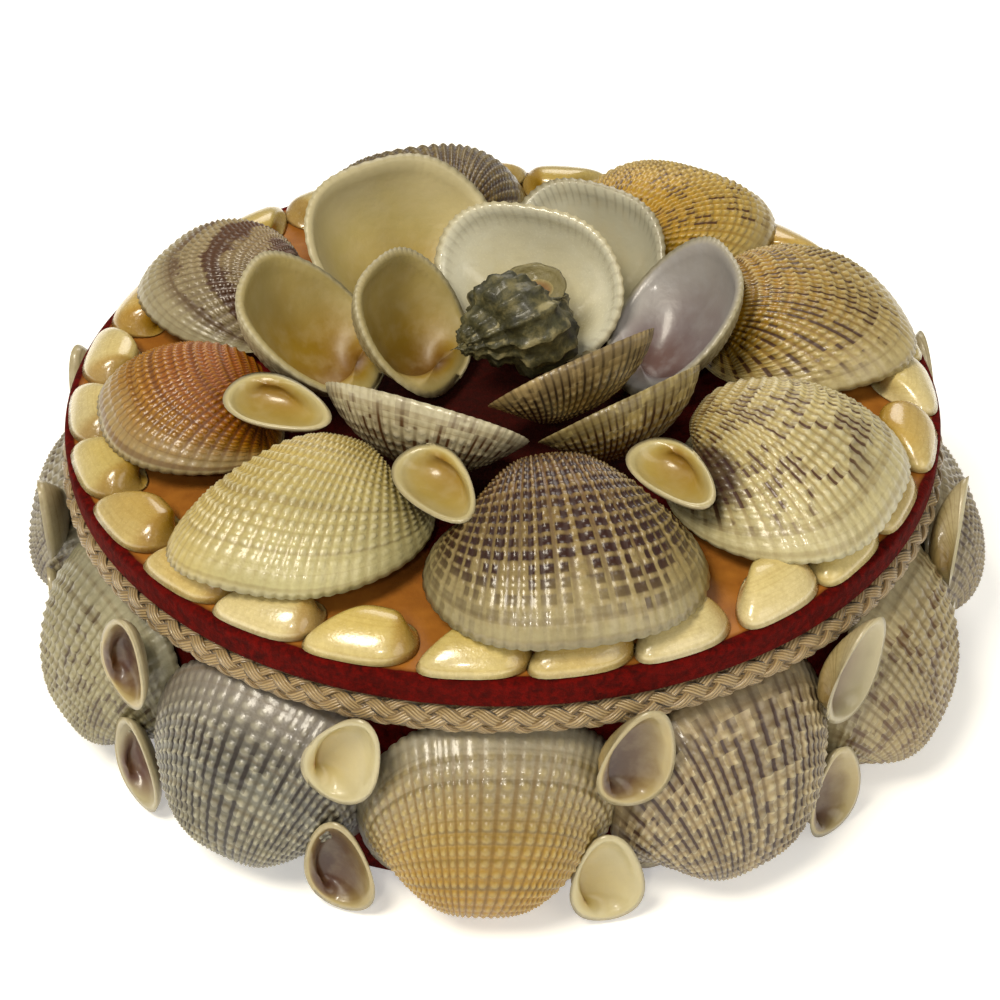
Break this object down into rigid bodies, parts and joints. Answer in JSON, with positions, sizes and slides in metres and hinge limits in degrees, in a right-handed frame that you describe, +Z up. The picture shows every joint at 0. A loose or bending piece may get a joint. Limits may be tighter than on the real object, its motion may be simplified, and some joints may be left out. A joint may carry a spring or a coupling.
{
  "type": "shell box",
  "caption": "Round keepsake box with a lift-off lid, covered with clam shells, with a braided cord under the lid and a flower of shells round a snail on top.",
  "frame": {"origin": "centre of the underside of the tub", "axes": "+Z up out of the lid, -Y towards the front of the box"},
  "size_m": [0.1492, 0.1491, 0.0619],
  "materials": {
    "red_velvet": "matte",
    "cream_cord": "satin",
    "ivory_shell": "gloss",
    "beaded_shell": "gloss",
    "hollow_shell": "gloss",
    "side_shell": "gloss",
    "small_shell": "gloss",
    "snail": "satin"
  },
  "bodies": {
    "root": {"tub": "red_velvet", "lid": "red_velvet", "braided_cord": "cream_cord", "rim_shells_01": "ivory_shell", "rim_shells_02": "ivory_shell", "rim_shells_03": "ivory_shell", "rim_shells_04": "ivory_shell", "rim_shells_05": "ivory_shell", "rim_shells_06": "ivory_shell", "rim_shells_07": "ivory_shell", "rim_shells_08": "ivory_shell", "rim_shells_09": "ivory_shell", "lid_shell_01": "beaded_shell", "lid_shell_02": "beaded_shell", "lid_shell_03": "beaded_shell", "lid_shell_04": "beaded_shell", "lid_shell_05": "beaded_shell", "lid_shell_06": "beaded_shell", "lid_shell_07": "beaded_shell", "lid_shell_08": "beaded_shell", "lid_gap_shell_01": "hollow_shell", "lid_gap_shell_02": "hollow_shell", "lid_gap_shell_03": "hollow_shell", "outer_petal_1": "hollow_shell", "outer_petal_2": "hollow_shell", "outer_petal_3": "hollow_shell", "outer_petal_4": "hollow_shell", "outer_petal_5": "hollow_shell", "outer_petal_6": "hollow_shell", "inner_petal_1": "hollow_shell", "inner_petal_2": "hollow_shell", "inner_petal_3": "hollow_shell", "snail_shell": "snail", "side_shell_01": "side_shell", "side_shell_02": "side_shell", "side_shell_03": "side_shell", "side_shell_04": "side_shell", "side_shell_05": "side_shell", "side_shell_06": "side_shell", "side_shell_07": "side_shell", "side_shell_08": "side_shell", "side_shell_09": "side_shell", "side_shell_10": "side_shell", "side_shell_11": "side_shell", "side_shell_12": "side_shell", "side_small_shell_01": "small_shell", "side_small_shell_02": "small_shell", "side_small_shell_03": "small_shell", "side_small_shell_04": "small_shell", "side_small_shell_05": "small_shell", "side_small_shell_06": "small_shell", "side_small_shell_07": "small_shell", "side_small_shell_08": "small_shell", "side_small_shell_09": "small_shell", "side_small_shell_10": "small_shell", "side_small_shell_11": "small_shell", "side_small_shell_12": "small_shell"}
  },
  "joints": []
}
